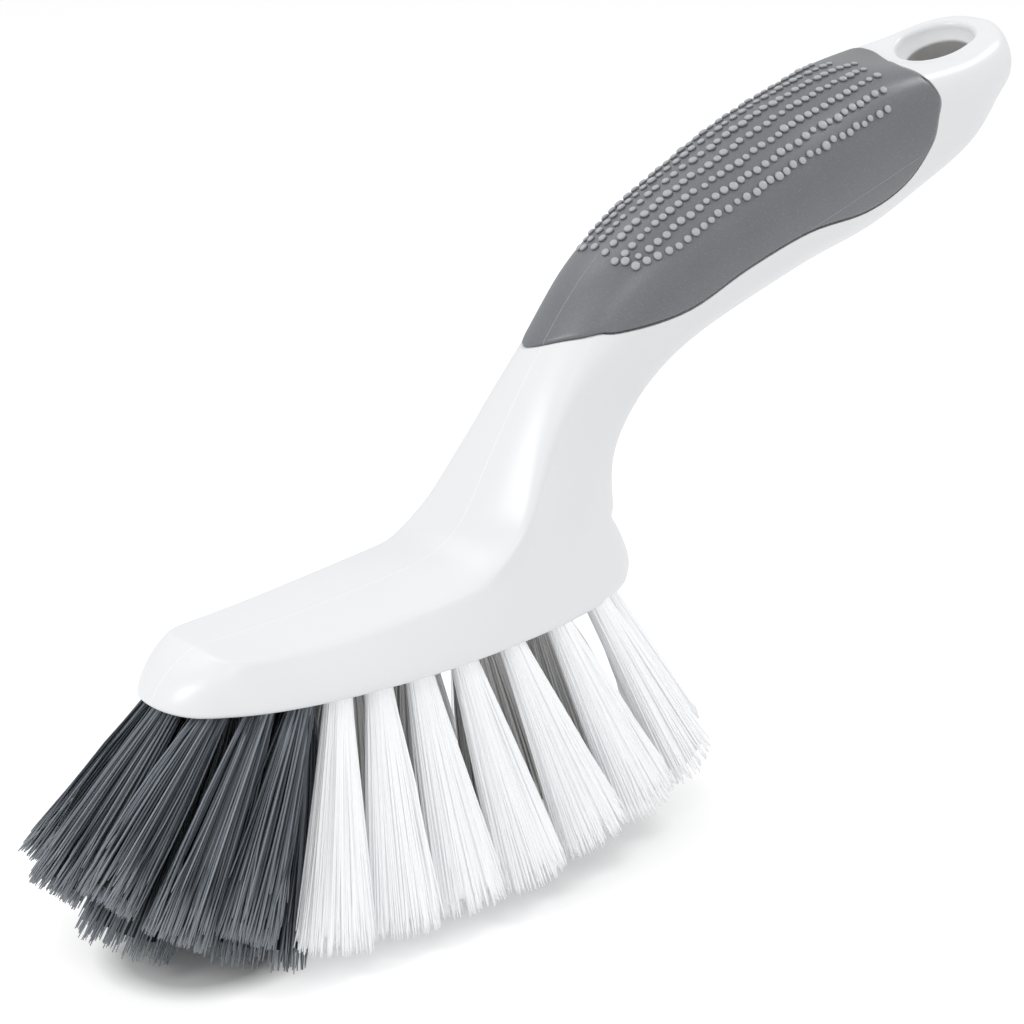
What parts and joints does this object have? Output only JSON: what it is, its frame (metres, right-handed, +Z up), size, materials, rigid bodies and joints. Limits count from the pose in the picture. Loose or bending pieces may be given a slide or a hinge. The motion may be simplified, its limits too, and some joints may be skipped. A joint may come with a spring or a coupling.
{
  "type": "bathroom cleaning brush",
  "caption": "Household scrubbing brush: long moulded head with fanned bristle tufts, rising curved handle with a soft grip, and a hanging hole.",
  "frame": {"origin": "on the surface that the bristle tips stand on, below the middle of the brush's length and width", "axes": "+X from the toe of the head to the end of the handle, +Z up from the bristle tips to the head, +Y across the brush"},
  "size_m": [0.2624, 0.0722, 0.1635],
  "materials": {
    "body": "satin white moulded polypropylene",
    "grip": "matte grey soft-touch elastomer",
    "dark": "charcoal filament",
    "pale": "white filament",
    "anchor": "plain drawn strip"
  },
  "bodies": {
    "root": {"anchor_corner_far": "anchor", "anchor_corner_near": "anchor", "anchor_dark_2_far": "anchor", "anchor_dark_2_near": "anchor", "anchor_dark_3_far": "anchor", "anchor_dark_3_near": "anchor", "anchor_heel": "anchor", "anchor_inner_1": "anchor", "anchor_inner_2_far": "anchor", "anchor_inner_2_near": "anchor", "anchor_inner_3": "anchor", "anchor_inner_4": "anchor", "anchor_inner_5": "anchor", "anchor_inner_6": "anchor", "anchor_side_1_far": "anchor", "anchor_side_1_near": "anchor", "anchor_side_2_far": "anchor", "anchor_side_2_near": "anchor", "anchor_side_3_far": "anchor", "anchor_side_3_near": "anchor", "anchor_side_4_far": "anchor", "anchor_side_4_near": "anchor", "anchor_side_5_far": "anchor", "anchor_side_5_near": "anchor", "anchor_side_6_far": "anchor", "anchor_side_6_near": "anchor", "anchor_side_7_far": "anchor", "anchor_side_7_near": "anchor", "anchor_toe": "anchor", "handle_body": "body", "soft_grip": "grip", "tuft_corner_far": "dark", "tuft_corner_near": "dark", "tuft_dark_2_far": "dark", "tuft_dark_2_near": "dark", "tuft_dark_3_far": "dark", "tuft_dark_3_near": "dark", "tuft_heel": "pale", "tuft_inner_1": "dark", "tuft_inner_2_far": "dark", "tuft_inner_2_near": "dark", "tuft_inner_3": "pale", "tuft_inner_4": "pale", "tuft_inner_5": "pale", "tuft_inner_6": "pale", "tuft_side_1_far": "pale", "tuft_side_1_near": "pale", "tuft_side_2_far": "pale", "tuft_side_2_near": "pale", "tuft_side_3_far": "pale", "tuft_side_3_near": "pale", "tuft_side_4_far": "pale", "tuft_side_4_near": "pale", "tuft_side_5_far": "pale", "tuft_side_5_near": "pale", "tuft_side_6_far": "pale", "tuft_side_6_near": "pale", "tuft_side_7_far": "pale", "tuft_side_7_near": "pale", "tuft_toe": "dark"}
  },
  "joints": []
}
